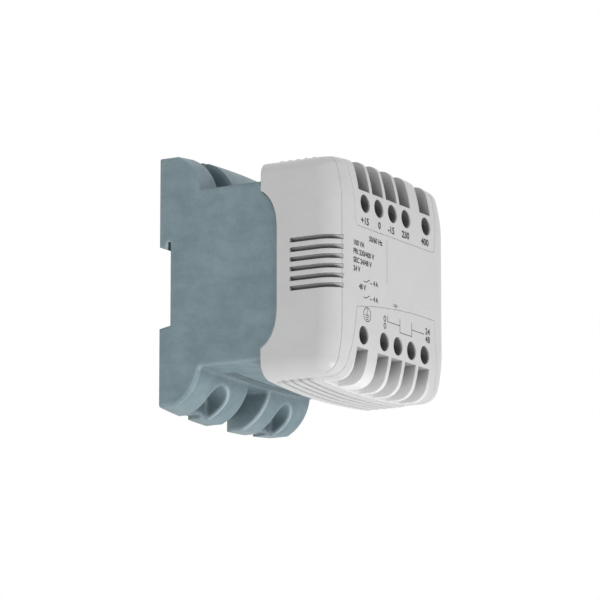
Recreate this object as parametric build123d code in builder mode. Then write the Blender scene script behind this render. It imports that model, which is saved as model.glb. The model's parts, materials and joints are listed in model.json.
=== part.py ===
from build123d import *
import os

# Control transformer that hangs on a 35 mm rail, in millimetres.
# X is across the front, +Y points to the back and +Z is up.
# The origin lies where the rail's front face meets the housing: mid-width, at the rail's centre height.

# Driving sizes of the two mouldings
base_width = 90.6
cover_width = 93.2
mid_z = 1.1                  # mid-height of the housing above the rail's centre line
back_y = 5.3                 # back plane, behind the rail seat
body_half_height = 37.3      # front part of the base, at its side faces
body_crown = 2.0             # extra height of its top and bottom at mid-width
lug_radius = 19.5            # barrel-shaped lugs, at the side faces
lug_crown = 2.2
lug_centre = 34.9            # barrel axis above and below mid-height
lug_half_height = 52.6       # flat ends of the lugs, at the side faces
lug_end_crown = 2.6
cover_half_height = 44.7     # cover at its side faces
cover_crown = 2.8
front_y = -81.5
ear_y = -44.4                # rear edge of the cover's four ears
side_recess = 7.7            # how far the rear edge is set forward between the ears
recess_straight = 16.0       # half the straight stretch of that edge
recess_half_height = 33.0
recess_lean = 0.55           # how steeply the S-shaped edge meets the ear
seam_gap = 0.3
skirt_wall = 2.0
cover_wall = 2.0
skirt_end_y = -57.0          # front rim of the base, inside the cover
back_wall = 2.6              # base wall in front of the rail seat
edge_round = 1.2
hook_rise = 1.5
hook_half_x = 20.0
hook_width = 8.0
back_pocket = 9.5            # narrow hollows in the back face
back_pocket_depth = 4.5
back_pocket_height = 22.0
back_pocket_z = 36.0
back_pocket_pitch = 11.5
back_pocket_edge = 38.5      # the outer ones, from mid-width
groove_count = 3
groove_width = 1.0
groove_depth = 0.8
groove_pitch = 2.1
groove_first_y = -17.0
groove_half_length = 31.0

# Rounding of the cover
plan_corner = 9.6
top_edge_round = 5.5
low_edge_round = 7.5
lean_start = 24.5            # the front leans back beyond this height from the middle
lean_radius = 61.0

# Rail notch and rail clip
rail_height = 35.0
rail_flange = 1.0
notch_clear = 0.5
lip_depth = 1.5
lip_z = 14.4
lip_slope = 1.1
clip_width = 15.6
clip_body_width = 12.8
clip_flange_thick = 1.4
clip_thick = 3.6
clip_front_y = 1.2
clip_clear = 0.3
clip_nose = 2.2
clip_tail_z = -48.5
clip_tail_round = 2.0
clip_eye_width = 7.0         # eye for a screwdriver's blade
clip_eye_height = 3.2
clip_eye_rise = 4.0          # from the tail's end to the eye's middle
gap_width = 16.8

# Fixing lugs
fixing_spacing_x = 52.2
fixing_spacing_z = 94.2
fixing_hole = 5.4
notch_rise = 1.3             # notch in the plate's edge beyond each hole
notch_width = 7.0
channel_width = 13.0
plate_front_y = -1.5
channel_top_gap = 4.6        # from the fixing hole's centre to the rounded channel end's top

# Terminals
pitch = 11.4
upper_steps = [0, 1, 2, 3, 4.5]
lower_steps = [0, 1.5, 2.5, 3.5, 4.5]
upper_shift = 0.9
lower_shift = -0.5
hole_row = 27.6              # screw holes above and below mid-height
hole_diameter = 7.8
sleeve_wall = 1.0            # tube behind each screw hole
sleeve_lean = 0.6            # keeps the tubes inside the leaning front
slot_width = 9.2
slot_start = 32.9            # wire slots begin here, from mid-height
slot_depth = 15.0
slot_wall = 1.2
flange_thick = 2.2           # rim of the cover that closes on the base
wire_hole = 6.0
block_wall = 1.6
block_foot = 4.0
cage_width = 7.8
cage_height = 7.0
cage_depth = 8.2
cage_wall = 1.0
cage_y = -70.5
screw_diameter = 3.5
screw_head = 6.4
screw_head_thick = 2.2
head_chamfer = 0.4
screw_slot = 0.9             # slot with a short cross arm
screw_shank = 3.0            # part of the screw inside its clamp
tab_width = 5.0
tab_thick = 0.8
fit = 0.3                    # gap between pieces that seat on each other

# Vents
vent_count = 6
vent_pitch = 4.02
vent_height = 2.0
vent_mid = 0.65              # centre of the vent group above mid-height
vent_rear_y = -58.1
vent_front_x = 41.0
ridge_count = 5
ridge_pitch = 3.85
ridge_width = 2.1
ridge_proud = 0.6
ridge_first_y = -48.0
ridge_half_length = 37.3
slot_overrun = 1.4           # the open slots run past the ridges
window_width = 3.6
window_height = 1.5
window_z = -10.9

# Fine lines cut in the cover's front: two panels and a joint line at each side
line_width = 0.3
line_depth = 0.35
joint_line_x = 41.8
upper_panel = [(-35.8, 46.0), (-32.4, 18.5), (33.4, 18.5), (36.0, 46.0)]
lower_panel_ends = [(-37.8, -46.0), (-31.8, -15.4), (33.0, -10.6), (37.4, -46.0)]
lower_panel_crest = (-4.0, -11.8)

# Iron core and coil
core_side_gap = 3.3          # from the core to the housing's walls
core_end_gap = 1.8
core_stack = 34.0
core_limb = 13.0
core_centre_y = -32.5
bolt_diameter = 4.0
bolt_hole = 4.5
bolt_head = 7.0
bolt_head_thick = 2.8
bolt_slot = 1.0
bolt_depth = 8.0             # how far a bolt enters its post
post_diameter = 9.0
bobbin_wall = 1.2
bobbin_depth = 11.8          # how far the flanges stand past the stack, front and back
winding_clear = 0.2          # between a winding and the bobbin's flanges
winding_inset = 0.8          # from the flange's edge to the winding
corner_round = 4.0
tape_thick = 0.3

# Derived places
base_half = base_width / 2
cover_half = cover_width / 2
skirt_half = cover_half - cover_wall - seam_gap
skirt_half_height = body_half_height - 1.0
core_width = 2 * (skirt_half - skirt_wall - core_side_gap)
core_height = 2 * (skirt_half_height - skirt_wall - core_end_gap)
row_start = -pitch * 4.5 / 2
upper_x = [row_start + upper_shift + pitch * s for s in upper_steps]
lower_x = [row_start + lower_shift + pitch * s for s in lower_steps]
rows = [(1, upper_x), (-1, lower_x)]
notch_half = (rail_height + notch_clear) / 2
far = 70.0                   # beyond every outside face
skin_edge = ear_y + seam_gap
skirt_start_y = skin_edge + 4.0
flange_y = ear_y - flange_thick
core_back_y = core_centre_y + core_stack / 2
core_front_y = core_centre_y - core_stack / 2
window_half_z = core_height / 2 - core_limb
bobbin_half_z = window_half_z - fit
bobbin_half_x = core_width / 2 - core_limb - fit
bobbin_half_y = core_stack / 2 + bobbin_depth
tube_half_x = core_limb + fit + bobbin_wall
tube_half_y = core_stack / 2 + fit + bobbin_wall
bolt_x = (core_width - core_limb) / 2
bolt_z = (core_height - core_limb) / 2
cage_back_y = cage_y + cage_depth / 2
cage_front_y = cage_y - cage_depth / 2
tab_y = cage_back_y - cage_wall - fit - tab_thick / 2
tail_z = bobbin_half_z + fit + tab_thick / 2
flange_top = -notch_half - 1.5


def crown_line(half_width, height, crown, side):
    """Corner points of a crowned edge: left end, crest, right end."""
    return [(-half_width, mid_z + side * height), (0, mid_z + side * (height + crown)),
            (half_width, mid_z + side * height)]


def crown_height(x, half_width, height, crown):
    """Height of the crowned surface over x, on the arc through its ends and crest."""
    radius = (half_width ** 2 + crown ** 2) / (2 * crown)
    return height + crown - radius + (radius ** 2 - x ** 2) ** 0.5


def side_edge(edge_y, half_height, side):
    """S-shaped edge from the straight stretch of the cover's rear rim to an ear."""
    straight_end = (edge_y - side_recess, mid_z + side * recess_straight)
    ear_end = (edge_y, mid_z + side * half_height)
    return Spline(straight_end, ear_end, tangents=((0, side), (1, side * recess_lean)))


# Rear housing: a crowned box whose front edge follows the cover, with barrel lugs above and below
with BuildPart() as base_housing:
    with BuildSketch(Plane.XZ.offset(-back_y)):
        with BuildLine():
            top = ThreePointArc(*crown_line(base_half, body_half_height, body_crown, 1))
            bottom = ThreePointArc(*crown_line(base_half, body_half_height, body_crown, -1))
            Line(top @ 0, bottom @ 0)
            Line(top @ 1, bottom @ 1)
        make_face()
    extrude(amount=back_y - skin_edge + side_recess)
    with BuildSketch(Plane.YZ):
        with BuildLine():
            upper = side_edge(skin_edge, recess_half_height - seam_gap, 1)
            lower = side_edge(skin_edge, recess_half_height - seam_gap, -1)
            Line(upper @ 0, lower @ 0)
            Polyline(upper @ 1, (skin_edge, far), (back_y, far), (back_y, -far), (skin_edge, -far), lower @ 1)
        make_face()
    extrude(amount=base_half, both=True, mode=Mode.INTERSECT)
    for side in (1, -1):
        axis_z = mid_z + side * lug_centre
        with BuildSketch(Plane.XZ.offset(-back_y)):
            with BuildLine():
                rim = ThreePointArc(*crown_line(base_half, lug_centre + lug_radius, lug_crown, side))
                Polyline(rim @ 1, (base_half, axis_z), (-base_half, axis_z), rim @ 0)
            make_face()
        revolve(axis=Axis((0, back_y, axis_z), (side, 0, 0)), revolution_arc=90)
        with BuildSketch(Plane.XZ.offset(-back_y)):
            with BuildLine():
                end = ThreePointArc(*crown_line(base_half, lug_half_height, lug_end_crown, side))
                Polyline(end @ 1, (base_half, side * far), (-base_half, side * far), end @ 0)
            make_face()
        extrude(amount=lug_radius, mode=Mode.SUBTRACT)
    side_edges = [e for e in base_housing.edges() if abs(e.center().X) > base_half - 0.01
                  and abs(e.center().Z - mid_z) > body_half_height + body_crown]
    fillet(side_edges, radius=edge_round)

    # skirt that slides inside the cover, with four snap hooks behind the cover's rim
    with BuildSketch(Plane.XZ.offset(-skirt_start_y)):
        with Locations((0, mid_z)):
            RectangleRounded(2 * skirt_half, 2 * skirt_half_height, skirt_wall)
    extrude(amount=skirt_start_y - skirt_end_y)
    for side in (1, -1):
        for x in (-hook_half_x, hook_half_x):
            with BuildSketch(Plane.YZ.offset(x - hook_width / 2)):
                with BuildLine():
                    root_z = mid_z + side * (skirt_half_height - 1)
                    tip_z = mid_z + side * (skirt_half_height + hook_rise)
                    hook_y = flange_y - fit
                    Polyline((hook_y, root_z), (hook_y, tip_z), (hook_y - 1, tip_z),
                             (hook_y - 1 - 2 * hook_rise, root_z), close=True)
                make_face()
            extrude(amount=hook_width)
    with BuildSketch(Plane.XZ.offset(back_wall)):
        with Locations((0, mid_z)):
            Rectangle(2 * (skirt_half - skirt_wall), 2 * (skirt_half_height - skirt_wall))
    extrude(amount=far, mode=Mode.SUBTRACT)

    # posts that carry the core, and rails beside it
    with BuildSketch(Plane.XZ.offset(back_wall - 0.5)):
        with Locations(*[(x, mid_z + z) for x in (-bolt_x, bolt_x) for z in (-bolt_z, bolt_z)]):
            Circle(post_diameter / 2)
    extrude(amount=-core_back_y - fit - back_wall + 0.5)
    with BuildSketch(Plane.XZ.offset(-core_back_y - fit - bolt_depth)):
        with Locations(*[(x, mid_z + z) for x in (-bolt_x, bolt_x) for z in (-bolt_z, bolt_z)]):
            Circle(bolt_diameter / 2 + fit)
    extrude(amount=2 * bolt_depth, mode=Mode.SUBTRACT)
    rail_inner = core_width / 2 + fit
    rail_outer = skirt_half - skirt_wall + 0.5
    for side in (1, -1):
        with Locations((side * (rail_inner + rail_outer) / 2, core_centre_y, mid_z)):
            Box(rail_outer - rail_inner, core_stack / 2, 4)

    # fixing channels, each with a plate and its screw hole at the back
    for side in (1, -1):
        hole_z = mid_z + side * fixing_spacing_z / 2
        end_z = mid_z + side * (body_half_height + body_crown)
        for x in (-fixing_spacing_x / 2, fixing_spacing_x / 2):
            with BuildSketch(Plane.XZ.offset(-plate_front_y)):
                if side > 0:
                    with Locations((x, (end_z + far) / 2)):
                        Rectangle(channel_width, far - end_z)
                else:
                    round_z = hole_z + channel_top_gap - channel_width / 2
                    with Locations((x, round_z)):
                        Circle(channel_width / 2)
                    with Locations((x, (round_z - far) / 2)):
                        Rectangle(channel_width, far + round_z)
            extrude(amount=lug_radius, mode=Mode.SUBTRACT)
            with BuildSketch(Plane.XZ.offset(-back_y - 1)):
                with Locations((x, hole_z)):
                    Circle(fixing_hole / 2)
                end_rise = crown_height(x, base_half, lug_half_height, lug_end_crown)
                with Locations((x, mid_z + side * end_rise)):
                    Rectangle(notch_width, 2 * notch_rise)
            extrude(amount=back_y - plate_front_y + 2, mode=Mode.SUBTRACT)

    # rail notch: a fixed lip above, a sloping shelf below
    with BuildSketch(Plane.YZ):
        with BuildLine():
            Polyline((back_y + 2, lip_z + 2 * lip_slope), (lip_depth, lip_z), (lip_depth, notch_half),
                     (0, notch_half), (0, -notch_half), (back_y + 2, -notch_half - 1.4), close=True)
        make_face()
    extrude(amount=base_half + 1, both=True, mode=Mode.SUBTRACT)

    # gap between the lower lugs and the T-shaped guide of the rail clip
    gap_top = mid_z - body_half_height - body_crown
    with BuildSketch(Plane.YZ):
        with Locations((back_y - lug_radius, (gap_top - far) / 2)):
            Rectangle(2 * lug_radius + 2, far + gap_top)
    extrude(amount=gap_width / 2, both=True, mode=Mode.SUBTRACT)
    guide_y = clip_front_y - clip_clear
    step_y = clip_front_y + clip_flange_thick + clip_clear
    for width, start_y, end_y, top_z in ((clip_width, guide_y, step_y, flange_top + clip_clear),
                                         (clip_body_width, guide_y, back_y + 2, -notch_half)):
        with Locations((0, (start_y + end_y) / 2, (top_z - far) / 2)):
            Box(width + 2 * clip_clear, end_y - start_y, far + top_z, mode=Mode.SUBTRACT)

    # narrow hollows in the back face and fine grooves under the front part
    pockets = [(k * back_pocket_pitch, back_pocket_z) for k in (-1, 0, 1)]
    for x in (-back_pocket_edge, back_pocket_edge):
        pockets += [(x, -back_pocket_z), (x, back_pocket_z)]
    with Locations(*[(x, back_y - back_pocket_depth / 2, mid_z + z) for x, z in pockets]):
        Box(back_pocket, back_pocket_depth, back_pocket_height, mode=Mode.SUBTRACT)
    under = body_half_height + body_crown
    for k in range(groove_count):
        with BuildSketch(Plane.XZ.offset(-groove_first_y + k * groove_pitch)):
            with BuildLine():
                low = ThreePointArc(*crown_line(base_half, body_half_height + 1, body_crown, -1))
                high = ThreePointArc(*crown_line(base_half, body_half_height - groove_depth, body_crown, -1))
                Line(low @ 0, high @ 0)
                Line(low @ 1, high @ 1)
            make_face()
            with Locations((0, mid_z - under)):
                Rectangle(2 * groove_half_length, 4 * body_crown, mode=Mode.INTERSECT)
        extrude(amount=groove_width, mode=Mode.SUBTRACT)
base_housing.part.label = "base_housing"


def hood(inset, rear_y):
    """Solid of the cover's outside, or of a smaller copy of it, from its front back to rear_y."""
    height = cover_half_height - inset
    width = cover_half - inset
    curve = lean_radius - inset
    lean_end = height + cover_crown + 1

    def front_at(h):
        return front_y + lean_radius - (curve ** 2 - (h - lean_start) ** 2) ** 0.5

    with BuildPart() as shape:
        with BuildSketch(Plane.XZ.offset(-rear_y)):
            with BuildLine():
                top = ThreePointArc(*crown_line(width, height, cover_crown, 1))
                bottom = ThreePointArc(*crown_line(width, height, cover_crown, -1))
                Line(top @ 0, bottom @ 0)
                Line(top @ 1, bottom @ 1)
            make_face()
        extrude(amount=rear_y - front_y)
        with BuildSketch(Plane.YZ):
            with BuildLine():
                for side in (1, -1):
                    ThreePointArc(*[(front_at(h), mid_z + side * h)
                                    for h in (lean_start, (lean_start + lean_end) / 2, lean_end)])
                    Line((front_at(lean_end), mid_z + side * lean_end), (rear_y, mid_z + side * lean_end))
                Line((front_at(lean_start), mid_z + lean_start), (front_at(lean_start), mid_z - lean_start))
                Line((rear_y, mid_z + lean_end), (rear_y, mid_z - lean_end))
            make_face()
        extrude(amount=cover_half, both=True, mode=Mode.INTERSECT)
        corners = [e for e in shape.edges() if abs(abs(e.center().X) - width) < 0.01
                   and e.center().Y < front_at(lean_end) and abs(e.center().Z - mid_z) < height - 1]
        fillet(corners, radius=plan_corner - inset)
        for place, radius in ((-1, top_edge_round), (0, low_edge_round)):
            rim = shape.faces().sort_by(Axis.Z)[place].edges()
            fillet([e for e in rim if e.center().Y < rear_y - 0.5], radius=radius - inset)
    return shape.part


outside = hood(0, ear_y)
hollow = hood(cover_wall, flange_y)
shroud_limit = hood(cover_wall / 2, flange_y)
line_floor = hood(line_depth, ear_y)
shroud_rear_y = front_y + slot_depth + slot_wall

# Walled wire channels behind the front, clipped to the cover's outside
with BuildPart() as wire_shroud:
    for side, xs in rows:
        low_z = mid_z + side * (slot_start - slot_wall)
        with Locations(((xs[0] + xs[-1]) / 2, (front_y + shroud_rear_y) / 2, (low_z + side * far) / 2)):
            Box(xs[-1] - xs[0] + slot_width + 2 * slot_wall, shroud_rear_y - front_y, far - side * low_z)
    add(shroud_limit, mode=Mode.INTERSECT)

# Fine lines of the front, as deep as line_depth everywhere
with BuildPart() as panel_lines:
    with BuildSketch(Plane.XZ.offset(-front_y + 1)):
        with BuildLine():
            FilletPolyline(*upper_panel, radius=2)
        trace(line_width=line_width)
        with BuildLine():
            crest = ThreePointArc(lower_panel_ends[1], lower_panel_crest, lower_panel_ends[2])
            Line(crest @ 0, lower_panel_ends[0])
            Line(crest @ 1, lower_panel_ends[3])
        trace(line_width=line_width)
        for x in (-joint_line_x, joint_line_x):
            with Locations((x, mid_z)):
                Rectangle(line_width, 2 * cover_half_height)
    extrude(amount=-slot_depth)
    add(line_floor, mode=Mode.SUBTRACT)

# Front cover
with BuildPart() as front_cover:
    add(outside)
    add(hollow, mode=Mode.SUBTRACT)
    with BuildSketch(Plane.XZ.offset(-ear_y - 1)):
        with Locations((0, mid_z)):
            Rectangle(2 * (cover_half - cover_wall), 2 * (skirt_half_height + seam_gap))
    extrude(amount=flange_thick + 4, mode=Mode.SUBTRACT)
    with BuildSketch(Plane.YZ):
        with BuildLine():
            upper = side_edge(ear_y, recess_half_height, 1)
            lower = side_edge(ear_y, recess_half_height, -1)
            Line(upper @ 0, lower @ 0)
            behind_y = ear_y + 1
            Polyline(upper @ 1, (behind_y, mid_z + recess_half_height),
                     (behind_y, mid_z - recess_half_height), lower @ 1)
        make_face()
    extrude(amount=cover_half + 1, both=True, mode=Mode.SUBTRACT)

    # wire channels, their slots and wire holes, and the screw-access holes with a tube behind each
    add(wire_shroud.part)
    for side, xs in rows:
        with BuildSketch(Plane.XZ.offset(-cage_front_y + fit)):
            with Locations(*[(x, mid_z + side * hole_row) for x in xs]):
                Circle(hole_diameter / 2 + sleeve_wall)
        extrude(amount=cage_front_y - fit - front_y - cover_wall / 2 - sleeve_lean)
    for side, xs in rows:
        slot_z = mid_z + side * slot_start
        with Locations(*[(x, front_y + slot_depth / 2 - 1, (slot_z + side * far) / 2) for x in xs]):
            Box(slot_width, slot_depth + 2, far - side * slot_z, mode=Mode.SUBTRACT)
        wide = [(a + b) / 2 for a, b in zip(xs, xs[1:]) if b - a > pitch * 1.2][0]
        pocket_high = cover_half_height - cover_wall
        pocket_low = slot_start - 2 * cover_wall
        pocket_z = mid_z + side * (pocket_high + pocket_low) / 2
        pocket_width = 1.5 * pitch - slot_width - 2 * slot_wall
        with Locations((wide, front_y + 2 * cover_wall + slot_depth, pocket_z)):
            Box(pocket_width, 2 * slot_depth, pocket_high - pocket_low, mode=Mode.SUBTRACT)
        with BuildSketch(Plane.XY.offset(slot_z - side * (slot_wall + 1))):
            with Locations(*[(x, cage_y) for x in xs]):
                Circle(wire_hole / 2)
        extrude(amount=side * (slot_wall + 2), mode=Mode.SUBTRACT)
        with BuildSketch(Plane.XZ.offset(-front_y + 1)):
            with Locations(*[(x, mid_z + side * hole_row) for x in xs]):
                Circle(hole_diameter / 2)
        extrude(amount=-slot_depth / 2 - 1, mode=Mode.SUBTRACT)

    # side vents that run round the front corners
    vent_length = vent_rear_y - front_y + 2
    for side in (1, -1):
        for k in range(vent_count):
            vent_z = mid_z + vent_mid + (k - (vent_count - 1) / 2) * vent_pitch
            with Locations((side * (vent_front_x + far) / 2, vent_rear_y - vent_length / 2, vent_z)):
                Box(far - vent_front_x, vent_length, vent_height, mode=Mode.SUBTRACT)

    # ridges with open slots between them, above and below
    for side in (1, -1):
        for k in range(ridge_count):
            with BuildSketch(Plane.XZ.offset(-ridge_first_y + k * ridge_pitch - ridge_width / 2)):
                with BuildLine():
                    proud_height = cover_half_height + ridge_proud
                    over = ThreePointArc(*crown_line(cover_half, proud_height, cover_crown, side))
                    sunk = ThreePointArc(*crown_line(cover_half, cover_half_height - 0.5, cover_crown, side))
                    Line(over @ 0, sunk @ 0)
                    Line(over @ 1, sunk @ 1)
                make_face()
                with Locations((0, mid_z + side * (cover_half_height + cover_crown))):
                    Rectangle(2 * ridge_half_length, 4 * cover_crown, mode=Mode.INTERSECT)
            extrude(amount=ridge_width)
        for k in range(ridge_count - 1):
            slot_y = ridge_first_y - (k + 0.5) * ridge_pitch
            with Locations((0, slot_y, mid_z + side * cover_half_height)):
                Box(2 * (ridge_half_length + slot_overrun), ridge_pitch - ridge_width, 12, mode=Mode.SUBTRACT)
    with BuildSketch(Plane.XZ.offset(-front_y)):
        with Locations((0, mid_z + window_z)):
            Rectangle(window_width, window_height)
    extrude(amount=-cover_wall / 2, mode=Mode.SUBTRACT)
    add(panel_lines.part, mode=Mode.SUBTRACT)
front_cover.part.label = "front_cover"

# Rail clip: a flanged slide with a sloping nose above and a pull eye below
with BuildPart() as rail_clip:
    with BuildSketch(Plane.YZ):
        with BuildLine():
            nose_y = rail_flange + clip_clear
            nose_top = -notch_half + clip_nose
            back = clip_front_y + clip_thick
            Polyline((clip_front_y, clip_tail_z), (clip_front_y, -notch_half - clip_clear),
                     (nose_y, -notch_half), (nose_y, nose_top), (nose_y + 1, nose_top),
                     (back, -notch_half - 1), (back, clip_tail_z), close=True)
        make_face()
    extrude(amount=clip_body_width / 2, both=True)
    flange_low = mid_z - body_half_height - 1
    with Locations((0, clip_front_y + clip_flange_thick / 2, (flange_top + flange_low) / 2)):
        Box(clip_width, clip_flange_thick, flange_top - flange_low)
    with BuildSketch(Plane.XZ.offset(-back_y)):
        with Locations((0, clip_tail_z + clip_eye_rise)):
            RectangleRounded(clip_eye_width, clip_eye_height, edge_round)
    extrude(amount=2 * clip_thick, mode=Mode.SUBTRACT)
    fillet(rail_clip.edges().filter_by(Axis.Y).group_by(Axis.Z)[0], radius=clip_tail_round)
rail_clip.part.label = "rail_clip"

# Iron core: E laminations with the back on top, I laminations below, drilled for four bolts
bolt_places = [(x, mid_z + z) for x in (-bolt_x, bolt_x) for z in (-bolt_z, bolt_z)]
with BuildPart() as core_e_stack:
    with BuildSketch(Plane.XZ.offset(-core_back_y)):
        e_low = mid_z - window_half_z
        e_high = mid_z + core_height / 2
        with Locations((0, (e_low + e_high) / 2)):
            Rectangle(core_width, e_high - e_low)
        with Locations(*[(x, mid_z) for x in (-1.5 * core_limb, 1.5 * core_limb)]):
            Rectangle(core_limb, 2 * window_half_z, mode=Mode.SUBTRACT)
        with Locations(*[p for p in bolt_places if p[1] > mid_z]):
            Circle(bolt_hole / 2, mode=Mode.SUBTRACT)
    extrude(amount=core_stack)
core_e_stack.part.label = "core_e_stack"

with BuildPart() as core_i_stack:
    with BuildSketch(Plane.XZ.offset(-core_back_y)):
        with Locations((0, mid_z - bolt_z)):
            Rectangle(core_width, core_limb)
        with Locations(*[p for p in bolt_places if p[1] < mid_z]):
            Circle(bolt_hole / 2, mode=Mode.SUBTRACT)
    extrude(amount=core_stack)
core_i_stack.part.label = "core_i_stack"

# Two-chamber bobbin round the centre limb
with BuildPart() as bobbin:
    with BuildSketch(Plane.XY.offset(mid_z - bobbin_half_z)):
        with Locations((0, core_centre_y)):
            Rectangle(2 * tube_half_x, 2 * tube_half_y)
    extrude(amount=2 * bobbin_half_z)
    for z in (-bobbin_half_z, -bobbin_wall / 2, bobbin_half_z - bobbin_wall):
        with BuildSketch(Plane.XY.offset(mid_z + z)):
            with Locations((0, core_centre_y)):
                RectangleRounded(2 * bobbin_half_x, 2 * bobbin_half_y, corner_round / 2)
        extrude(amount=bobbin_wall)
    with BuildSketch(Plane.XY.offset(mid_z - bobbin_half_z)):
        with Locations((0, core_centre_y)):
            Rectangle(2 * (tube_half_x - bobbin_wall), 2 * (tube_half_y - bobbin_wall))
    extrude(amount=2 * bobbin_half_z, mode=Mode.SUBTRACT)
bobbin.part.label = "bobbin"

# Windings and their outer tape
chamber = bobbin_half_z - 1.5 * bobbin_wall - 2 * winding_clear
winding_half_x = bobbin_half_x - winding_inset
winding_half_y = bobbin_half_y - winding_inset
for name, side in (("primary", 1), ("secondary", -1)):
    start_z = mid_z + side * (bobbin_wall / 2 + winding_clear)
    with BuildPart() as winding:
        with BuildSketch(Plane.XY.offset(start_z)):
            with Locations((0, core_centre_y)):
                RectangleRounded(2 * winding_half_x, 2 * winding_half_y, corner_round)
                Rectangle(2 * tube_half_x + winding_clear, 2 * tube_half_y + winding_clear,
                          mode=Mode.SUBTRACT)
        extrude(amount=side * chamber)
    winding.part.label = name + "_winding"
    with BuildPart() as tape:
        with BuildSketch(Plane.XY.offset(start_z)):
            with Locations((0, core_centre_y)):
                RectangleRounded(2 * (winding_half_x + tape_thick), 2 * (winding_half_y + tape_thick),
                                 corner_round + tape_thick)
                RectangleRounded(2 * winding_half_x, 2 * winding_half_y, corner_round, mode=Mode.SUBTRACT)
        extrude(amount=side * chamber)
    tape.part.label = name + "_tape"
    os.makedirs("parts", exist_ok=True)
    export_step(winding.part, f"parts/{name}_winding.step")
    export_step(tape.part, f"parts/{name}_tape.step")

# Bolts through the core into the posts; one also holds the earth strap
for number, (x, z) in enumerate(bolt_places, start=1):
    seat_y = core_front_y
    if x < 0 and z < mid_z:
        seat_y = core_front_y - fit - tab_thick
    with BuildPart() as bolt:
        with BuildSketch(Plane.XZ.offset(-seat_y)):
            with Locations((x, z)):
                Circle(bolt_head / 2)
        extrude(amount=bolt_head_thick)
        with BuildSketch(Plane.XZ.offset(-seat_y)):
            with Locations((x, z)):
                Circle(bolt_diameter / 2)
        extrude(amount=seat_y - core_back_y - fit - bolt_depth + 1)
        with BuildSketch(Plane.XZ.offset(-seat_y + bolt_head_thick)):
            with Locations((x, z)):
                Rectangle(bolt_head + 1, bolt_slot)
        extrude(amount=-bolt_head_thick / 2, mode=Mode.SUBTRACT)
    bolt.part.label = f"core_bolt_{number}"
    export_step(bolt.part, f"parts/core_bolt_{number}.step")

# Terminal blocks: open pockets for the clamp cages, with feet on the bobbin's flange
cage_pocket = cage_width + 2 * fit
pocket_back_y = cage_back_y + fit
block_back_y = pocket_back_y + block_wall
block_front_y = cage_front_y
floor_z = hole_row - cage_height / 2 - fit
for name, side, xs in (("upper", 1, upper_x), ("lower", -1, lower_x)):
    low = mid_z + side * (floor_z - block_wall)
    high = mid_z + side * (slot_start - slot_wall - fit)
    foot_low = mid_z + side * (bobbin_half_z + fit)
    free = [(a + b) / 2 for a, b in zip(xs, xs[1:])]
    foot_xs = [free[0], free[-1]]
    with BuildPart() as block:
        with Locations(((xs[0] + xs[-1]) / 2, (block_back_y + block_front_y) / 2, (low + high) / 2)):
            Box(xs[-1] - xs[0] + cage_pocket + 2 * block_wall, block_back_y - block_front_y, abs(high - low))
        with Locations(*[(x, (pocket_back_y + block_front_y) / 2 - 1, mid_z + side * (floor_z + far) / 2)
                         for x in xs]):
            Box(cage_pocket, pocket_back_y - block_front_y + 2, far - floor_z, mode=Mode.SUBTRACT)
        with Locations(*[(x, tab_y, low) for x in xs]):
            Box(tab_width + 2 * fit, tab_thick + 2 * fit, 4 * block_wall, mode=Mode.SUBTRACT)
        foot_back_y = core_centre_y - bobbin_half_y + 3
        foot_y = (block_back_y + foot_back_y) / 2
        with Locations(*[(x, foot_y, (foot_low + low) / 2) for x in foot_xs]):
            Box(block_foot, foot_back_y - block_back_y, abs(low - foot_low))
        with Locations(*[(x, foot_y - 1, (low + mid_z + side * floor_z) / 2) for x in foot_xs]):
            Box(block_foot, foot_back_y + 2 - block_back_y, block_wall)
    block.part.label = name + "_terminal_block"
    export_step(block.part, f"parts/{name}_terminal_block.step")

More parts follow.
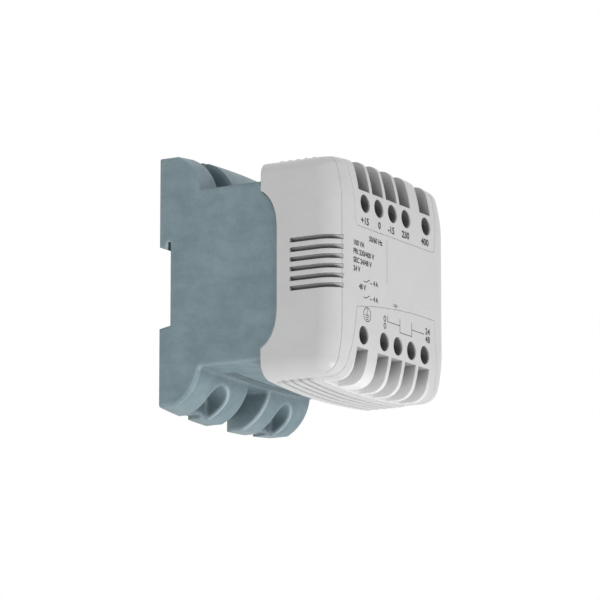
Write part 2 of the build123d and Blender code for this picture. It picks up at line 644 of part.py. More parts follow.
# Clamp cages, clamp screws and contact strips, numbered along the upper row and then the lower
number = 0
for side, xs in rows:
    row_z = mid_z + side * hole_row
    for x in xs:
        number += 1
        with BuildPart() as cage:
            with Locations((x, cage_y, row_z)):
                Box(cage_width, cage_depth, cage_height)
                Box(cage_width - 2 * cage_wall, cage_depth - 2 * cage_wall, cage_height, mode=Mode.SUBTRACT)
            with BuildSketch(Plane.XZ.offset(-cage_front_y)):
                with Locations((x, row_z)):
                    Circle(screw_diameter / 2 + fit)
            extrude(amount=-2 * cage_wall, mode=Mode.SUBTRACT)
        cage.part.label = f"terminal_cage_{number}"
        export_step(cage.part, f"parts/terminal_cage_{number}.step")

        head_back_y = cage_front_y - fit
        with BuildPart() as screw:
            with BuildSketch(Plane.XZ.offset(-head_back_y)):
                with Locations((x, row_z)):
                    Circle(screw_head / 2)
            extrude(amount=screw_head_thick)
            chamfer(screw.edges().group_by(Axis.Y)[0], length=head_chamfer)
            with BuildSketch(Plane.XZ.offset(-head_back_y)):
                with Locations((x, row_z)):
                    Circle(screw_diameter / 2)
            extrude(amount=-cage_wall - fit - screw_shank)
            with BuildSketch(Plane.XZ.offset(-head_back_y + screw_head_thick)):
                with Locations((x, row_z)):
                    Rectangle(screw_head + 1, screw_slot)
                    Rectangle(screw_slot, screw_head / 2)
            extrude(amount=-screw_head_thick / 2, mode=Mode.SUBTRACT)
        screw.part.label = f"terminal_screw_{number}"
        export_step(screw.part, f"parts/terminal_screw_{number}.step")

        tab_top = mid_z + side * (hole_row + cage_height / 2 - 0.5)
        tail_centre = mid_z + side * tail_z
        earth = side < 0 and x == xs[0]
        tail_end_y = core_centre_y - bobbin_half_y + (-2 if earth else 4)
        with BuildPart() as tab:
            with Locations((x, tab_y, (tab_top + tail_centre) / 2)):
                Box(tab_width, tab_thick, abs(tab_top - tail_centre) + tab_thick)
            with Locations((x, (tab_y + tail_end_y) / 2, tail_centre)):
                Box(tab_width, tail_end_y - tab_y, tab_thick)
            if earth:
                strap_y = core_front_y - fit - tab_thick / 2
                strap_low = mid_z - bolt_z - tab_width / 2 - 1
                with Locations(((x - bolt_x) / 2, tail_end_y - tab_width / 2, tail_centre)):
                    Box(bolt_x + x + tab_width, tab_width, tab_thick)
                with Locations((-bolt_x, (tail_end_y + strap_y) / 2, tail_centre)):
                    Box(tab_width, strap_y - tail_end_y + tab_thick, tab_thick)
                with Locations((-bolt_x, strap_y, (tail_centre + strap_low) / 2)):
                    Box(tab_width + 2, tab_thick, tail_centre - strap_low + tab_thick)
                with BuildSketch(Plane.XZ.offset(-strap_y - 2)):
                    with Locations((-bolt_x, mid_z - bolt_z)):
                        Circle(bolt_hole / 2)
                extrude(amount=4, mode=Mode.SUBTRACT)
        node = "earth_strap" if earth else f"contact_tab_{number}"
        tab.part.label = node
        export_step(tab.part, f"parts/{node}.step")

for piece in (base_housing, front_cover, rail_clip, core_e_stack, core_i_stack, bobbin):
    export_step(piece.part, f"parts/{piece.part.label}.step")
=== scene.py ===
import bpy
import bmesh
import json
import math
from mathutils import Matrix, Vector


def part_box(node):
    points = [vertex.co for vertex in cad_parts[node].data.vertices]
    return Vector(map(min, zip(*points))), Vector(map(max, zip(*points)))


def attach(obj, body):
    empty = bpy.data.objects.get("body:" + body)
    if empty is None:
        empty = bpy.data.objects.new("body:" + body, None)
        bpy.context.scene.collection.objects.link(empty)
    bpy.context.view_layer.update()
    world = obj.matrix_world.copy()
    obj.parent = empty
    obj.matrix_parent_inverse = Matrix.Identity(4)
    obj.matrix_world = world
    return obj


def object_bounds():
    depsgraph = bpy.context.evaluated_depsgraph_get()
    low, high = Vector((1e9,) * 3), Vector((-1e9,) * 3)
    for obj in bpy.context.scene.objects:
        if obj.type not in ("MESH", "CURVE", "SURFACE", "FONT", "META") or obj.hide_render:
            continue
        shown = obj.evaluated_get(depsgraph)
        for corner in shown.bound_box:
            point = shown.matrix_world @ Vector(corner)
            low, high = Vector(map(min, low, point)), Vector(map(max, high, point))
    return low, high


# Control transformer for a 35 mm rail, in metres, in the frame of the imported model.
# Lengths named in capitals are in millimetres unless their comment or heading says otherwise.
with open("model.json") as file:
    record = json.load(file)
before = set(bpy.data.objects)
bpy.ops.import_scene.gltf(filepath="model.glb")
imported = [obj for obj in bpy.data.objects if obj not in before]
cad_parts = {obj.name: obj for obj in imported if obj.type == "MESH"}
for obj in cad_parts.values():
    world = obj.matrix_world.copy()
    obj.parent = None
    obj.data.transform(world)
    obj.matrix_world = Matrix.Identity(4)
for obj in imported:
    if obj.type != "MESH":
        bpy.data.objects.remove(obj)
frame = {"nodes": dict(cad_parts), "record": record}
cad_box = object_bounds()
scene = bpy.context.scene
nodes = frame["nodes"]
cover_low, cover_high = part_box("front_cover")
middle_z = (cover_low[2] + cover_high[2]) / 2
MM = 0.001


# ---- camera: from the left, a little below ----
LENS = 264.06
SENSOR = 36.0
CAMERA_PLACE = (-1.5572, -0.9575, -0.3656)       # metres
CAMERA_AIM = (0.8437, 0.4995, 0.1966)            # direction

cam_data = bpy.data.cameras.new("camera")
cam_data.lens = LENS
cam_data.sensor_width = SENSOR
cam_data.clip_start = 0.05
cam_data.clip_end = 20.0
camera = bpy.data.objects.new("camera", cam_data)
scene.collection.objects.link(camera)
camera.location = CAMERA_PLACE
camera.rotation_euler = Vector(CAMERA_AIM).to_track_quat("-Z", "Y").to_euler()
scene.camera = camera
scene.view_settings.view_transform = "Standard"


# ---- node helpers ----
def put(tree, kind, **settings):
    """A new node. Keys are properties, or input names with _ for a space."""
    node = tree.nodes.new(kind)
    for key, value in settings.items():
        if hasattr(node, key):
            setattr(node, key, value)
        else:
            node.inputs[key.replace("_", " ")].default_value = value
    return node


def feed(tree, value, socket):
    """Link value into socket if it is a socket itself, or else set it there."""
    if isinstance(value, bpy.types.NodeSocket):
        tree.links.new(value, socket)
    elif isinstance(value, tuple):
        socket.default_value = (*value, 1.0)
    else:
        socket.default_value = value


MIX_FACTOR, MIX_FIRST, MIX_SECOND, MIX_RESULT = 0, 6, 7, 2       # the mix node's sockets for colours


def blend_colours(tree, factor, first, second, mode="MIX"):
    """Mix of two colours. first and second are colours or sockets."""
    node = put(tree, "ShaderNodeMix", data_type="RGBA", blend_type=mode)
    for number, value in ((MIX_FACTOR, factor), (MIX_FIRST, first), (MIX_SECOND, second)):
        feed(tree, value, node.inputs[number])
    return node.outputs[MIX_RESULT]


def spread(tree, value, low, high, out_low=0.0, out_high=1.0):
    """Value stretched from low..high to out_low..out_high, clamped."""
    node = put(tree, "ShaderNodeMapRange", From_Min=low, From_Max=high, To_Min=out_low, To_Max=out_high)
    tree.links.new(value, node.inputs["Value"])
    return node.outputs[0]


def combine(tree, operation, first, second=0.0):
    """One sum on two values, such as MULTIPLY or MAXIMUM."""
    node = put(tree, "ShaderNodeMath", operation=operation)
    feed(tree, first, node.inputs[0])
    feed(tree, second, node.inputs[1])
    return node.outputs[0]


def multiply(tree, first, *others):
    """Product of two or more values, each a number or a socket."""
    for other in others:
        first = combine(tree, "MULTIPLY", first, other)
    return first


def noise(tree, place, size_mm, detail=2.0, roughness=0.5):
    """Noise whose cells are about size_mm across, at place."""
    node = put(tree, "ShaderNodeTexNoise", Scale=1 / (size_mm * MM), Detail=detail, Roughness=roughness)
    tree.links.new(place, node.inputs["Vector"])
    return node.outputs[0]


def new_group(name, inputs, values, vectors=()):
    """An empty node group with its input and output nodes. inputs are (name, default)."""
    group = bpy.data.node_groups.new(name, "ShaderNodeTree")
    for label, default in inputs:
        socket = group.interface.new_socket(label, in_out="INPUT", socket_type="NodeSocketFloat")
        socket.default_value = default
    for labels, kind in ((values, "NodeSocketFloat"), (vectors, "NodeSocketVector")):
        for label in labels:
            group.interface.new_socket(label, in_out="OUTPUT", socket_type=kind)
    return group, put(group, "NodeGroupInput"), put(group, "NodeGroupOutput")


def use(tree, group, **values):
    """The group as a node in tree, with its inputs set."""
    node = put(tree, "ShaderNodeGroup", node_tree=group)
    for key, value in values.items():
        node.inputs[key].default_value = value
    return node


# ---- shared effects ----
# Moulded plastic: clouds and streaks in its colour, fine specks and the grain of the mould
skin, _, skin_out = new_group("moulded_skin", [], ["Clouds", "Specks", "Grain", "Streaks"])
where = put(skin, "ShaderNodeTexCoord").outputs["Object"]
skin.links.new(spread(skin, noise(skin, where, 16.0, 4.0, 0.55), 0.3, 0.7), skin_out.inputs["Clouds"])
skin.links.new(spread(skin, noise(skin, where, 1.1, 2.0, 0.6), 0.56, 0.74), skin_out.inputs["Specks"])
fine = noise(skin, where, 0.35, 2.0)
coarse = noise(skin, where, 1.6, 2.0)
skin.links.new(blend_colours(skin, 0.35, fine, coarse), skin_out.inputs["Grain"])
stretch = put(skin, "ShaderNodeMapping", Scale=(1.0, 0.55, 1.0))
skin.links.new(where, stretch.inputs["Vector"])
along = noise(skin, stretch.outputs[0], 5.0, 3.0, 0.6)
skin.links.new(spread(skin, along, 0.35, 0.7), skin_out.inputs["Streaks"])

# Edges: 1 on a sharp edge and 0 on a flat or gently curved face, and the softened normal
edges, edges_in, edges_out = new_group("edge_finder", [("Radius", 0.6 * MM)], ["Edge"], ["Normal"])
soft = put(edges, "ShaderNodeBevel", samples=6)
edges.links.new(edges_in.outputs["Radius"], soft.inputs["Radius"])
turn = put(edges, "ShaderNodeVectorMath", operation="DOT_PRODUCT")
edges.links.new(soft.outputs[0], turn.inputs[0])
edges.links.new(put(edges, "ShaderNodeNewGeometry").outputs["Normal"], turn.inputs[1])
edges.links.new(spread(edges, turn.outputs["Value"], 0.99, 0.84), edges_out.inputs["Edge"])
edges.links.new(soft.outputs[0], edges_out.inputs["Normal"])

# Hollows, found by ambient occlusion for painted shade and for the painted light in vent grooves: 1 far into
# a slot, hole or corner
hollows, hollows_in, hollows_out = new_group("hollow_finder", [("Reach", 12 * MM)], ["Depth"])
near = put(hollows, "ShaderNodeAmbientOcclusion", samples=8)
hollows.links.new(hollows_in.outputs["Reach"], near.inputs["Distance"])
hollows.links.new(spread(hollows, near.outputs["AO"], 1.0, 0.0), hollows_out.inputs["Depth"])

# Places on the cover where light and shade are painted: painted shade in its wire slots and screw holes
# (Inside) and more in the holes alone (Holes), painted light at the lower slots' open ends (Open) and in the
# vents in its underside (Vents). Each is 1 there and 0 elsewhere, and fades over the stretch given here.
# Heights are measured from the cover's middle, depths from its front.
ROW_SIDES = (31.4, 32.6)
ROW_NEAR_MIDDLE = (19, 22)
ROW_BEHIND_FACE = (0.4, 1.2)
ROW_BEFORE_VENTS = (15.4, 16.6)
HOLES_END = (31.4, 32.0)
# over this stretch the painted shade in the lower slots falls to a tenth towards their lower ends
LOW_SLOTS_SHADE_FADE = (-43, -32)
# and over this one painted light lifts the lower slots' open ends
LOW_SLOTS_OPEN = (-46, -36)
UNDERSIDE = (-43, -42)

zone, _, zone_out = new_group("terminal_zone", [], ["Inside", "Holes", "Open", "Vents"])
spot = put(zone, "ShaderNodeSeparateXYZ")
zone.links.new(put(zone, "ShaderNodeTexCoord").outputs["Object"], spot.inputs[0])


def fade(value, stretch_mm, out_low, out_high, start=0.0):
    """Value in metres, turned from out_low to out_high over stretch_mm, which is measured from start."""
    low, high = (start + end * MM for end in stretch_mm)
    return spread(zone, value, low, high, out_low, out_high)


above = combine(zone, "SUBTRACT", spot.outputs["Z"], middle_z)
height = combine(zone, "ABSOLUTE", above)
beside = fade(combine(zone, "ABSOLUTE", spot.outputs["X"]), ROW_SIDES, 1.0, 0.0)
rows_only = fade(height, ROW_NEAR_MIDDLE, 0.0, 1.0)
behind_face = fade(spot.outputs["Y"], ROW_BEHIND_FACE, 0.0, 1.0, cover_low[1])
before_vents = fade(spot.outputs["Y"], ROW_BEFORE_VENTS, 1.0, 0.0, cover_low[1])
inside = multiply(zone, beside, rows_only, behind_face, before_vents)
below = fade(above, UNDERSIDE, 1.0, 0.0)
for label, mask in (("Inside", multiply(zone, inside, fade(above, LOW_SLOTS_SHADE_FADE, 0.1, 1.0))),
                    ("Holes", multiply(zone, inside, fade(height, HOLES_END, 1.0, 0.0))),
                    ("Open", multiply(zone, inside, fade(above, LOW_SLOTS_OPEN, 1.0, 0.0))),
                    ("Vents", multiply(zone, below, combine(zone, "SUBTRACT", 1.0, before_vents)))):
    zone.links.new(mask, zone_out.inputs[label])


# ---- finishes ----
HOLE_SHADE = 0.55                                # share of colour left by painted shade in the cover's screw holes
OPEN_END_LIGHT = 1.35                                # painted light: colour raised by this share at its lower slots' open ends
HOLLOW_SHADED = (0.10, 0.75)                     # depths over which painted shade darkens a hollow
VENT_LIT = (0.3, 0.8)                            # and over which painted light turns a vent groove pale
# painted light: the pale colour given to the underside's vent grooves
VENT_GROOVE_LIGHT = (0.82, 0.82, 0.83)
STREAK_SHARE = 0.4                               # of the mottling, the rest is clouds
# Painted highlight on the housing's edges, where they face the light, left, forward and down: from, to and
# the least share
RIM_LIT_SIDES = (("X", -0.10, -0.45, 0.25), ("Y", -0.05, -0.35, 0.4), ("Z", 0.15, -0.15, 0.15))
GRAIN_DEPTH = 0.1


def new_finish(name):
    """An empty material, with its node tree and shader."""
    mat = bpy.data.materials.new(name)
    mat.use_nodes = True
    return mat, mat.node_tree, mat.node_tree.nodes["Principled BSDF"]


def roughen(tree, shader, height_map, strength, normal=None):
    """Fine relief on the surface."""
    relief = put(tree, "ShaderNodeBump", Strength=strength, Distance=GRAIN_DEPTH * MM)
    tree.links.new(height_map, relief.inputs["Height"])
    if normal:
        tree.links.new(normal, relief.inputs["Normal"])
    tree.links.new(relief.outputs[0], shader.inputs["Normal"])


def plastic(name, dark, light, speck, edge, rough, clouds=0.7, specks=0.2, rim_highlight_share=0.0, rim_mm=0.6,
            painted_hollow_shade=0.6, reach_mm=8, grain=0.3, zoned=False, lit_side_only=False):
    """Moulded plastic. clouds and specks are the shares of its patterns. The others paint light and shade: a
    share of painted highlight along the edges in the edge colour, how much colour painted shade leaves in a
    hollow (on a zoned cover near the terminals alone, where painted light also lifts the lower slots' ends
    and the vent grooves), and whether that highlight keeps to the edges that face the light."""
    mat, tree, shader = new_finish(name)
    surface = use(tree, skin)
    edge_node = use(tree, edges, Radius=rim_mm * MM)
    depth = use(tree, hollows, Reach=reach_mm * MM).outputs["Depth"]
    mottle = blend_colours(tree, STREAK_SHARE, surface.outputs["Clouds"], surface.outputs["Streaks"])
    body = blend_colours(tree, multiply(tree, mottle, clouds), light, dark)
    body = blend_colours(tree, multiply(tree, surface.outputs["Specks"], specks), body, speck)
    # painted highlight along the edges, in the edge colour
    rim_highlight = multiply(tree, edge_node.outputs["Edge"], rim_highlight_share)
    # kept to the edges that face the light
    if lit_side_only:
        aim = put(tree, "ShaderNodeSeparateXYZ")
        tree.links.new(edge_node.outputs["Normal"], aim.inputs[0])
        for axis, none, full, least in RIM_LIT_SIDES:
            rim_highlight = multiply(tree, rim_highlight, spread(tree, aim.outputs[axis], none, full, least, 1.0))
    body = blend_colours(tree, rim_highlight, body, edge)
    if zoned:
        # painted light in the underside's vent grooves, and painted shade near the terminals alone
        places = use(tree, zone)
        lit_grooves = multiply(tree, spread(tree, depth, *VENT_LIT), places.outputs["Vents"])
        body = blend_colours(tree, lit_grooves, body, VENT_GROOVE_LIGHT)
        depth = multiply(tree, depth, places.outputs["Inside"])
    # painted shade in hollows, more in the cover's screw holes, and painted light at its lower slots' open
    # ends
    shade = spread(tree, depth, *HOLLOW_SHADED, 1.0, painted_hollow_shade)
    if zoned:
        shade = multiply(tree, shade,
                         spread(tree, places.outputs["Holes"], 0.0, 1.0, 1.0, HOLE_SHADE),
                         spread(tree, places.outputs["Open"], 0.0, 1.0, 1.0, OPEN_END_LIGHT))
    # the painted shade as a grey that the colour is multiplied by
    painted_shade_colour = put(tree, "ShaderNodeCombineColor")
    for socket in painted_shade_colour.inputs:
        tree.links.new(shade, socket)
    tree.links.new(blend_colours(tree, 1.0, body, painted_shade_colour.outputs[0], "MULTIPLY"), shader.inputs["Base Color"])
    tree.links.new(spread(tree, mottle, 0.0, 1.0, rough - 0.05, rough + 0.07), shader.inputs["Roughness"])
    roughen(tree, shader, surface.outputs["Grain"], grain, edge_node.outputs["Normal"])
    shader.inputs["Specular IOR Level"].default_value = 0.4
    return mat


WAVE_SCALE = 15.7                                # the wave texture's scale times the width of a band
# painted shade: the near black that the metals' hollows are darkened towards
METAL_HOLLOW_SHADE = (0.02, 0.02, 0.02)
WORN_METAL = (0.8, 0.8, 0.78)
MARK_SHARE, BAND_SHARE, HOLLOW_SHADE_SHARE, WORN_SHARE = 0.6, 0.7, 0.45, 0.35


def metal(name, colour, dull, rough, band_mm=0.0, axis="Y", relief=0.3):
    """Metal with fine marks, or with bands where it is stacked sheet or wound wire."""
    mat, tree, shader = new_finish(name)
    shader.inputs["Metallic"].default_value = 1.0
    place = put(tree, "ShaderNodeTexCoord").outputs["Object"]
    marks = spread(tree, noise(tree, place, 1.5, 4.0, 0.65), 0.35, 0.7)
    body = blend_colours(tree, multiply(tree, marks, MARK_SHARE), colour, dull)
    height_map = marks
    if band_mm:
        bands = put(tree, "ShaderNodeTexWave", wave_type="BANDS", bands_direction=axis,
                    Scale=WAVE_SCALE / band_mm, Distortion=0.4, Detail=1.0)
        tree.links.new(place, bands.inputs["Vector"])
        height_map = bands.outputs["Fac"]
        body = blend_colours(tree, multiply(tree, height_map, BAND_SHARE), dull, body)
    # painted shade in the hollows
    depth = use(tree, hollows, Reach=6 * MM).outputs["Depth"]
    body = blend_colours(tree, multiply(tree, depth, HOLLOW_SHADE_SHARE), body, METAL_HOLLOW_SHADE)
    edge = use(tree, edges, Radius=0.3 * MM).outputs["Edge"]
    body = blend_colours(tree, multiply(tree, edge, WORN_SHARE), body, WORN_METAL)
    tree.links.new(body, shader.inputs["Base Color"])
    tree.links.new(spread(tree, marks, 0.0, 1.0, rough, rough + 0.18), shader.inputs["Roughness"])
    roughen(tree, shader, height_map, relief)
    return mat


# Every plastic gets painted shade in its hollows, and those in this table a painted highlight along their
# edges in their edge colour; the metals get painted shade in their hollows.
finishes = {
    # housing: a wide painted highlight on the edges that face the light
    "housing_plastic": plastic("housing_plastic", dark=(0.165, 0.247, 0.276), light=(0.262, 0.352, 0.386),
                               speck=(0.11, 0.165, 0.185), edge=(0.72, 0.86, 0.92), rough=0.48,
                               clouds=1.0, specks=0.35, rim_highlight_share=1.0, rim_mm=3.0, painted_hollow_shade=0.50, reach_mm=16,
                               grain=0.5, lit_side_only=True),
    # cover: painted highlight on its slot and seam edges, painted shade in its slots and holes, painted
    # light at its lower slot ends and vent grooves
    "cover_plastic": plastic("cover_plastic", dark=(0.60, 0.60, 0.605), light=(0.66, 0.66, 0.662),
                             speck=(0.52, 0.52, 0.53), edge=(0.86, 0.86, 0.865), rough=0.28,
                             clouds=0.6, specks=0.16, rim_highlight_share=0.75, painted_hollow_shade=0.32, reach_mm=14,
                             grain=0.22, zoned=True),
    "clip_plastic": plastic("clip_plastic", dark=(0.09, 0.14, 0.16), light=(0.13, 0.19, 0.215),
                            speck=(0.06, 0.09, 0.10), edge=(0.24, 0.31, 0.33), rough=0.45,
                            clouds=0.8, specks=0.3, rim_highlight_share=0.5, painted_hollow_shade=0.5, grain=0.4),
    "bobbin_plastic": plastic("bobbin_plastic", dark=(0.018, 0.018, 0.02), light=(0.035, 0.035, 0.038),
                              speck=(0.05, 0.05, 0.05), edge=(0.09, 0.09, 0.09), rough=0.40, rim_highlight_share=0.4),
    "block_plastic": plastic("block_plastic", dark=(0.20, 0.20, 0.205), light=(0.26, 0.26, 0.265),
                             speck=(0.13, 0.13, 0.13), edge=(0.34, 0.34, 0.34), rough=0.50,
                             specks=0.3, rim_highlight_share=0.4),
    "winding_tape": plastic("winding_tape", dark=(0.62, 0.61, 0.57), light=(0.74, 0.73, 0.69),
                            speck=(0.5, 0.49, 0.45), edge=(0.78, 0.77, 0.73), rough=0.30,
                            clouds=0.8, rim_highlight_share=0.3, painted_hollow_shade=0.5, reach_mm=10, grain=0.2),
    "winding_copper": metal("winding_copper", (0.55, 0.20, 0.08), (0.24, 0.08, 0.03), 0.30, 0.6, "Z", 0.7),
    "lamination_steel": metal("lamination_steel", (0.24, 0.235, 0.23), (0.07, 0.068, 0.065), 0.42,
                              0.5, "Y", 0.7),
    "cage_steel": metal("cage_steel", (0.55, 0.55, 0.53), (0.34, 0.34, 0.32), 0.34),
    "screw_steel": metal("screw_steel", (0.60, 0.60, 0.58), (0.38, 0.38, 0.36), 0.30),
    "contact_brass": metal("contact_brass", (0.62, 0.46, 0.20), (0.38, 0.27, 0.11), 0.30),
    "bolt_steel": metal("bolt_steel", (0.48, 0.48, 0.46), (0.26, 0.26, 0.25), 0.36),
}
# painted shade takes nearly all the blades' colour where they lie hollowed in behind the vents
blade_finish = plastic("vent_blade_plastic", dark=(0.46, 0.46, 0.465), light=(0.51, 0.51, 0.512),
                       speck=(0.40, 0.40, 0.405), edge=(0.46, 0.46, 0.46), rough=0.4,
                       clouds=0.6, specks=0.16, painted_hollow_shade=0.01, reach_mm=2.4, grain=0.2)
ink = plastic("print_ink", dark=(0.030, 0.030, 0.032), light=(0.045, 0.045, 0.048),
              speck=(0.08, 0.08, 0.08), edge=(0.05, 0.05, 0.05), rough=0.55,
              clouds=0.8, specks=0.4, painted_hollow_shade=0.9, reach_mm=4, grain=0.1)
scribe = plastic("scribed_line", dark=(0.36, 0.36, 0.365), light=(0.40, 0.40, 0.405),
                 speck=(0.3, 0.3, 0.3), edge=(0.4, 0.4, 0.4), rough=0.5,
                 clouds=0.6, painted_hollow_shade=0.9, reach_mm=4, grain=0.1)
for part in frame["record"]["subparts"]:
    slots = nodes[part["node"]].data.materials
    slots.clear()
    slots.append(finishes[part["material_slot"]])


# ---- rounded ribs over the vents above and below, and blades behind the side vents ----
COVER_HALF = cover_high[0] / MM
COVER_FRONT = cover_low[1] / MM
COVER_MIDDLE = middle_z / MM
COVER_SIDE_HEIGHT = 44.7     # of the cover over its middle, at its side faces
COVER_CROWN = 2.8
COVER_CORNER = 9.6           # rounding of its upright corners
RIB_COUNT = 5
RIB_STEPS = 24               # along half of a rib
RIB_PITCH = 3.85
RIB_FIRST_Y = -48.0
RIB_HALF_LENGTH = 37.2
RIB_HALF_WIDTH = 1.0
RIB_FOOT = 0.3               # where a rib's flanks start over the cover's ground
RIB_END_RISE = 0.55          # height at its very end
RIB_END_LENGTH = 1.5
RIB_SECTION = ((-1, 0.6), (-0.55, 0.92), (0, 1), (0.55, 0.92), (1, 0.6))    # shares of width and height
RIB_SIDES = (("top", 1, 1.5), ("low", -1, 0.9))      # name, way up or down, height
BLADE_COUNT = 6
BLADE_PITCH = 4.02
BLADE_MIDDLE = 0.65          # above the cover's middle
BLADE_HALF_HEIGHT = 0.97
BLADE_REAR_Y = -58.3
BLADE_SIDE_STEPS = 6
BLADE_CORNER_STEPS = 14
BLADE_END = 66               # degrees round the corner
BLADE_RISING = 36            # degrees from which it comes up to the cover's surface
BLADE_SECTION = ((0.5, 1), (2.6, -1), (3.2, -1), (1.1, 1))      # depth, and 1 at its upper edge
BLADE_THINNED = 0.85         # share of its depth that it loses up to its end


def link_piece(name, data, material):
    """A fixed piece of the housing made from data."""
    data.materials.append(material)
    obj = bpy.data.objects.new(name, data)
    scene.collection.objects.link(obj)
    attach(obj, "housing")
    return obj


def finish_mesh(name, mesh, material):
    """Turn a built mesh into a piece, with its faces all outward."""
    bmesh.ops.recalc_face_normals(mesh, faces=mesh.faces)
    data = bpy.data.meshes.new(name)
    mesh.to_mesh(data)
    mesh.free()
    link_piece(name, data, material)


def sweep(name, rods, material):
    """Solid rods as one piece. Each rod is a list of rings, each ring a list of points in millimetres."""
    mesh = bmesh.new()
    for rings in rods:
        loops = [[mesh.verts.new([c * MM for c in point]) for point in ring] for ring in rings]
        for one, two in zip(loops, loops[1:]):
            for k in range(len(one)):
                mesh.faces.new((one[k - 1], one[k], two[k], two[k - 1]))
        mesh.faces.new(loops[0])
        mesh.faces.new(loops[-1][::-1])
    finish_mesh(name, mesh, material)


def rib(number, side, proud):
    """Rings of one rib that follows the crown of the cover's top (side 1) or underside (-1)."""
    rings = []
    middle_y = RIB_FIRST_Y - number * RIB_PITCH
    for k in range(2 * RIB_STEPS + 1):
        x = RIB_HALF_LENGTH * (k / RIB_STEPS - 1)
        from_end = min(1.0, (RIB_HALF_LENGTH - abs(x)) / RIB_END_LENGTH)
        rise = RIB_END_RISE + (proud - RIB_END_RISE) * from_end ** 0.5
        ground = COVER_SIDE_HEIGHT + COVER_CROWN * (1 - (x / COVER_HALF) ** 2)
        profile = [(-1, RIB_FOOT), *((across, share * rise) for across, share in RIB_SECTION), (1, RIB_FOOT)]
        rings.append([(x, middle_y + RIB_HALF_WIDTH * across, COVER_MIDDLE + side * (ground + up))
                      for across, up in profile])
    return rings


def blade(number, side):
    """Rings of one sloping blade that runs along the side and round the upright corner."""
    z = COVER_MIDDLE + BLADE_MIDDLE + (number - (BLADE_COUNT - 1) / 2) * BLADE_PITCH
    corner_x = COVER_HALF - COVER_CORNER
    corner_y = COVER_FRONT + COVER_CORNER
    places = [(0.0, BLADE_REAR_Y + (corner_y - BLADE_REAR_Y) * k / BLADE_SIDE_STEPS)
              for k in range(BLADE_SIDE_STEPS)]
    places += [(math.radians(BLADE_END) * k / BLADE_CORNER_STEPS, corner_y)
               for k in range(BLADE_CORNER_STEPS + 1)]
    rings = []
    for angle, y in places:
        risen = max(0.0, math.degrees(angle) - BLADE_RISING) / (BLADE_END - BLADE_RISING)
        ring = []
        for depth, up in BLADE_SECTION:
            radius = COVER_CORNER - depth * (1.0 - BLADE_THINNED * risen)
            ring.append((side * (corner_x + radius * math.cos(angle)), y - radius * math.sin(angle),
                         z + up * BLADE_HALF_HEIGHT))
        rings.append(ring)
    return rings


for word, side, proud in RIB_SIDES:
    sweep("vent_ribs_" + word, [rib(k, side, proud) for k in range(RIB_COUNT)], finishes["cover_plastic"])
for word, side in (("left", -1), ("right", 1)):
    sweep("vent_blades_" + word, [blade(k, side) for k in range(BLADE_COUNT)], blade_finish)


# ---- print on the cover's front: places and sizes in millimetres, x and z ----
INK_PROUD = 0.025            # in front of the cover
INK_SUNK = 0.015             # and behind its face
CAP_SHARE = 0.73             # height of a capital letter over the font's size
CIRCLE_STEPS = 40
NUMBER_HEIGHT = 2.9
OUTPUT_HEIGHT = 2.75
RATING_HEIGHT = 2.25
SWITCH_HEIGHT = 2.0


def words(name, text, x, z, height, widen, bold, align="CENTER"):
    """Lettering centred at height z. widen stretches it sideways and bold thickens its strokes."""
    data = bpy.data.curves.new(name, "FONT")
    data.body = text
    data.size = height / CAP_SHARE * MM
    data.extrude = (INK_PROUD + INK_SUNK) / 2 * MM
    data.offset = bold * MM
    data.align_x = align
    data.resolution_u = 3
    obj = link_piece(name, data, ink)
    obj.location = (x * MM, (COVER_FRONT - (INK_PROUD - INK_SUNK) / 2) * MM, (z - height / 2) * MM)
    obj.rotation_euler = (math.radians(90), 0, 0)
    obj.scale = (widen, 1, 1)


def circle(x, z, radius):
    """A closed ring of points, for strokes."""
    turns = [2 * math.pi * k / CIRCLE_STEPS for k in range(CIRCLE_STEPS + 1)]
    return [(x + radius * math.cos(a), z + radius * math.sin(a)) for a in turns]


def strokes(name, lines, width, material):
    """Thin flat lines. lines are lists of (x, z)."""
    mesh = bmesh.new()
    near_y = COVER_FRONT - INK_PROUD
    far_y = COVER_FRONT + INK_SUNK
    for line in lines:
        for (xa, za), (xb, zb) in zip(line, line[1:]):
            length = math.hypot(xb - xa, zb - za)
            ux = (xb - xa) / length * width / 2
            uz = (zb - za) / length * width / 2
            ring = [(xa - ux - uz, za - uz + ux), (xa - ux + uz, za - uz - ux),
                    (xb + ux + uz, zb + uz - ux), (xb + ux - uz, zb + uz + ux)]
            front = [mesh.verts.new((x * MM, near_y * MM, z * MM)) for x, z in ring]
            back = [mesh.verts.new((x * MM, far_y * MM, z * MM)) for x, z in ring]
            mesh.faces.new(front)
            mesh.faces.new(back[::-1])
            for k in range(4):
                mesh.faces.new((front[k], back[k], back[k - 3], front[k - 3]))
    finish_mesh(name, mesh, material)


for name, text, x, z in (("print_plus_15", "+15", -25.2, 21.4), ("print_0", "0", -13.2, 21.7),
                         ("print_minus_15", "-15", -3.3, 21.6), ("print_230", "230", 8.8, 21.8),
                         ("print_400", "400", 25.4, 21.9)):
    words(name, text, x, z, NUMBER_HEIGHT, 1.06, 0.15)
for name, z in (("print_output_0", -16.7), ("print_output_0_low", -19.7)):
    words(name, "0", -8.9, z, OUTPUT_HEIGHT, 1.3, 0.03)
for name, text, z in (("print_output_24", "24", -16.2), ("print_output_48", "48", -19.6)):
    words(name, text, 27.3, z, OUTPUT_HEIGHT, 1.05, 0.10)
for name, text, x, z in (("print_frequency", "50/60 Hz", -21.8, 14.6),
                         ("print_power", "100 VA", -34.8, 11.0),
                         ("print_primary", "PRI 230/400 V", -34.8, 7.4),
                         ("print_secondary", "SEC 24/48 V", -34.8, 3.8),
                         ("print_switch_24", "24 V", -34.8, 0.2),
                         ("print_switch_48", "48 V", -30.2, -6.7)):
    words(name, text, x, z, RATING_HEIGHT, 0.95, 0.11, "LEFT")
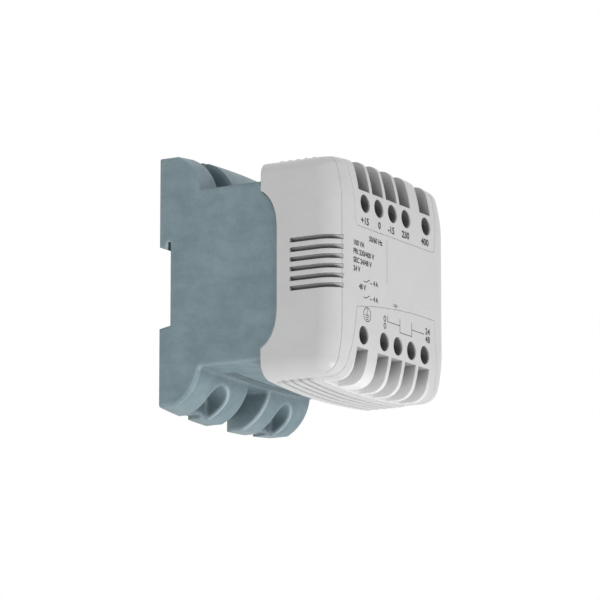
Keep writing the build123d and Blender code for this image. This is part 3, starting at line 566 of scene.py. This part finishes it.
for name, z in (("switch_sign_24", -3.6), ("switch_sign_48", -10.2)):
    strokes(name, [[(-26.4, z - 0.6), (-24.2, z - 0.6)], [(-24.2, z - 0.6), (-21.6, z + 0.7)],
                   [(-21.2, z - 0.6), (-19.4, z - 0.6)]], 0.35, ink)
    words(name + "_rating", "4 A", -18.4, z, SWITCH_HEIGHT, 0.92, 0.13, "LEFT")
strokes("earth_sign", [[(-23.6, -15.2), (-23.6, -17.9)], [(-25.3, -17.9), (-21.9, -17.9)],
                       [(-24.8, -18.8), (-22.4, -18.8)], [(-24.2, -19.6), (-23.0, -19.6)],
                       circle(-23.6, -17.6, 2.9)], 0.32, ink)
strokes("link_diagram", [[(-6.6, -15.3), (-6.6, -17.7), (3.7, -17.7)],
                         [(3.7, -15.0), (3.7, -20.6), (13.7, -20.6)],
                         [(13.7, -20.6), (13.7, -15.0)], [(13.7, -17.8), (24.2, -17.8)]], 0.3, ink)
strokes("front_scribe", [[(-7.0, 16.5), (-7.0, -2.0)]], 0.22, scribe)


# ---- floor, world and lights, in metres ----
FLOOR_DROP = 0.56            # below the object
FLOOR_HALF = 20
FLOOR_COLOUR = (0.86, 0.86, 0.86, 1)
FLOOR_GLOW = 0.3             # lifts the floor to white for the camera alone
WHITE = (1, 1, 1, 1)
STUDIO_STRENGTH = 0.71
LAMPS = (("front_lamp", (-0.35, -1.1, 0.0), 0.6, 0.6),           # name, place, size and watts
         ("low_lamp", (-0.15, -0.42, -0.50), 0.2, 1.4))


def in_view(tree):
    """1 for what the camera sees, directly, in a reflection or through something clear, and 0 for light."""
    path = put(tree, "ShaderNodeLightPath")
    total = path.outputs["Is Camera Ray"]
    for label in ("Is Glossy Ray", "Is Transmission Ray"):
        total = combine(tree, "MAXIMUM", total, path.outputs[label])
    return total


floor_z = cad_box[0][2] - FLOOR_DROP
floor_mesh = bpy.data.meshes.new("floor")
floor_mesh.from_pydata([(x * FLOOR_HALF, y * FLOOR_HALF, floor_z)
                        for x, y in ((-1, -1), (1, -1), (1, 1), (-1, 1))], [], [(0, 1, 2, 3)])
floor_obj = bpy.data.objects.new("floor", floor_mesh)
scene.collection.objects.link(floor_obj)
floor_mat, floor_tree, floor_shader = new_finish("floor")
for label, value in (("Base Color", FLOOR_COLOUR), ("Roughness", 0.9), ("Emission Color", WHITE)):
    floor_shader.inputs[label].default_value = value
floor_tree.links.new(multiply(floor_tree, in_view(floor_tree), FLOOR_GLOW),
                     floor_shader.inputs["Emission Strength"])
floor_mesh.materials.append(floor_mat)

world = bpy.data.worlds.new("studio")
scene.world = world
world.use_nodes = True
sky = world.node_tree
sky.nodes.clear()
choice = put(sky, "ShaderNodeMixShader")
sky.links.new(in_view(sky), choice.inputs[0])
for number, strength in ((1, STUDIO_STRENGTH), (2, 1.0)):
    glow = put(sky, "ShaderNodeBackground", Color=WHITE, Strength=strength)
    sky.links.new(glow.outputs[0], choice.inputs[number])
sky.links.new(choice.outputs[0], put(sky, "ShaderNodeOutputWorld").inputs["Surface"])

for name, place, size, power in LAMPS:
    lamp = bpy.data.lights.new(name, "AREA")
    lamp.size = size
    lamp.energy = power
    lamp_obj = bpy.data.objects.new(name, lamp)
    scene.collection.objects.link(lamp_obj)
    lamp_obj.location = place
    lamp_obj.rotation_euler = (-Vector(place)).to_track_quat("-Z", "Y").to_euler()
